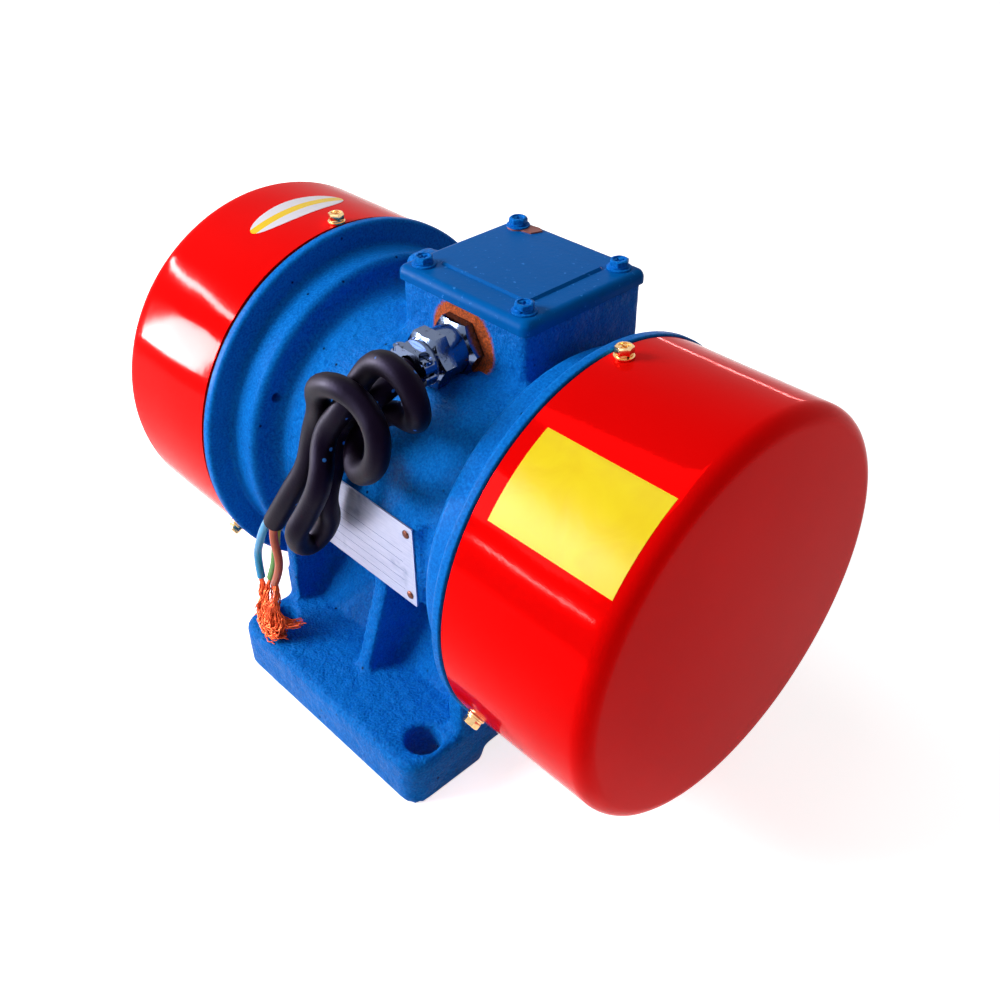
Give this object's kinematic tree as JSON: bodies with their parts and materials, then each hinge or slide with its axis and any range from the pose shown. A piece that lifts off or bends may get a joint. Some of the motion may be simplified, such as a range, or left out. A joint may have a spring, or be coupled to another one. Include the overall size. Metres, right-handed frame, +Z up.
{
  "type": "vibration motor",
  "caption": "Foot-mounted vibration motor: ribbed cast barrel on a drilled foot, terminal box with cable gland and short lead, round end covers over eccentric shaft weights.",
  "frame": {"origin": "centre of the four foot holes, on the plane that the feet stand on", "axes": "+X along the shaft towards the right-hand cover, -Y towards the cable gland and rating plate, +Z up"},
  "size_m": [0.379, 0.2482, 0.2557],
  "materials": {
    "blue_enamel_casting": "gloss enamel over sand-cast iron",
    "blue_enamel_lid": "gloss enamel",
    "blue_enamel_bolts": "enamel over zinc-plated steel",
    "rubber": "matte black",
    "red_enamel": "gloss enamel on deep-drawn steel",
    "yellow_zinc": "yellow passivated zinc on steel",
    "tarnished_copper_tag": "tarnished copper",
    "nickel_plate": "nickel-plated brass",
    "plate_aluminium": "fine satin",
    "copper_rivets": "copper-coated",
    "terminal_board_resin": "moulded phenolic resin",
    "stud_brass": "turned brass",
    "core_steel": "stacked electrical sheet",
    "winding_varnish": "varnished enamelled wire",
    "cast_aluminium": "as cast",
    "shaft_steel": "ground steel",
    "bearing_steel": "ground bearing steel",
    "cage_brass": "machined brass",
    "shield_iron": "machined cast iron",
    "inner_fasteners": "zinc-plated steel",
    "weight_iron": "cast and face-turned iron",
    "cable_jacket": "smooth black-brown rubber",
    "core_blue": "blue insulation",
    "core_yellow_green": "yellow and green insulation",
    "core_brown": "brown insulation",
    "bare_copper": "bare stranded copper"
  },
  "bodies": {
    "frame": {"bearing_cap_left": "shield_iron", "bearing_cap_right": "shield_iron", "bearing_cap_screws": "inner_fasteners", "bearing_outer_ring_left": "bearing_steel", "bearing_outer_ring_right": "bearing_steel", "bearing_shield_bolts": "inner_fasteners", "bearing_shield_left": "shield_iron", "bearing_shield_right": "shield_iron", "copper_strands": "bare_copper", "cover_bolts": "yellow_zinc", "cover_flat_washers": "yellow_zinc", "cover_seal_left": "rubber", "cover_seal_right": "rubber", "cover_spring_washers": "yellow_zinc", "earth_tag": "tarnished_copper_tag", "end_cover_left": "red_enamel", "end_cover_right": "red_enamel", "frame_casting": "blue_enamel_casting", "gland_body": "nickel_plate", "gland_clamp_jaws": "nickel_plate", "gland_clamp_screws": "nickel_plate", "gland_compression_nut": "nickel_plate", "gland_inner_nut": "nickel_plate", "gland_seal_ring": "rubber", "lid_bolts": "blue_enamel_bolts", "lid_flat_washers": "blue_enamel_bolts", "lid_spring_washers": "blue_enamel_bolts", "nameplate": "plate_aluminium", "nameplate_rivets": "copper_rivets", "power_cable": "cable_jacket", "stator_core": "core_steel", "stator_winding": "winding_varnish", "terminal_board": "terminal_board_resin", "terminal_box_gasket": "rubber", "terminal_box_lid": "blue_enamel_lid", "terminal_studs": "stud_brass", "wire_blue": "core_blue", "wire_brown": "core_brown", "wire_yellow_green": "core_yellow_green"},
    "rotor": {"shaft": "shaft_steel", "rotor_core": "core_steel", "rotor_end_rings": "cast_aluminium", "bearing_inner_ring_left": "bearing_steel", "bearing_inner_ring_right": "bearing_steel", "bearing_spacers": "shaft_steel", "fixed_weight_left": "weight_iron", "fixed_weight_right": "weight_iron", "weight_keys": "shaft_steel", "shaft_circlips": "shaft_steel"},
    "bearing_left": {"bearing_cage_left": "cage_brass", "bearing_rollers_left": "bearing_steel"},
    "bearing_right": {"bearing_cage_right": "cage_brass", "bearing_rollers_right": "bearing_steel"},
    "weight_left": {"adjustable_weight_left": "weight_iron", "weight_clamp_bolt_left": "inner_fasteners"},
    "weight_right": {"adjustable_weight_right": "weight_iron", "weight_clamp_bolt_right": "inner_fasteners"}
  },
  "joints": [
    {"name": "rotor_spin", "type": "hinge", "parent": "frame", "child": "rotor", "pos_m": [0, 0, 0.1336], "axis": [1, 0, 0], "continuous": true},
    {"name": "bearing_left_roll", "type": "hinge", "parent": "frame", "child": "bearing_left", "pos_m": [0, 0, 0.1336], "axis": [1, 0, 0], "continuous": true},
    {"name": "bearing_right_roll", "type": "hinge", "parent": "frame", "child": "bearing_right", "pos_m": [0, 0, 0.1336], "axis": [1, 0, 0], "continuous": true},
    {"name": "weight_left_setting", "type": "hinge", "parent": "rotor", "child": "weight_left", "pos_m": [0, 0, 0.1336], "axis": [1, 0, 0], "range_deg": [0, 180]},
    {"name": "weight_right_setting", "type": "hinge", "parent": "rotor", "child": "weight_right", "pos_m": [0, 0, 0.1336], "axis": [1, 0, 0], "range_deg": [0, 180]}
  ],
  "couplings": [
    {"joint": "bearing_left_roll", "follows": "rotor_spin", "ratio": 0.41667},
    {"joint": "bearing_right_roll", "follows": "rotor_spin", "ratio": 0.41667}
  ]
}
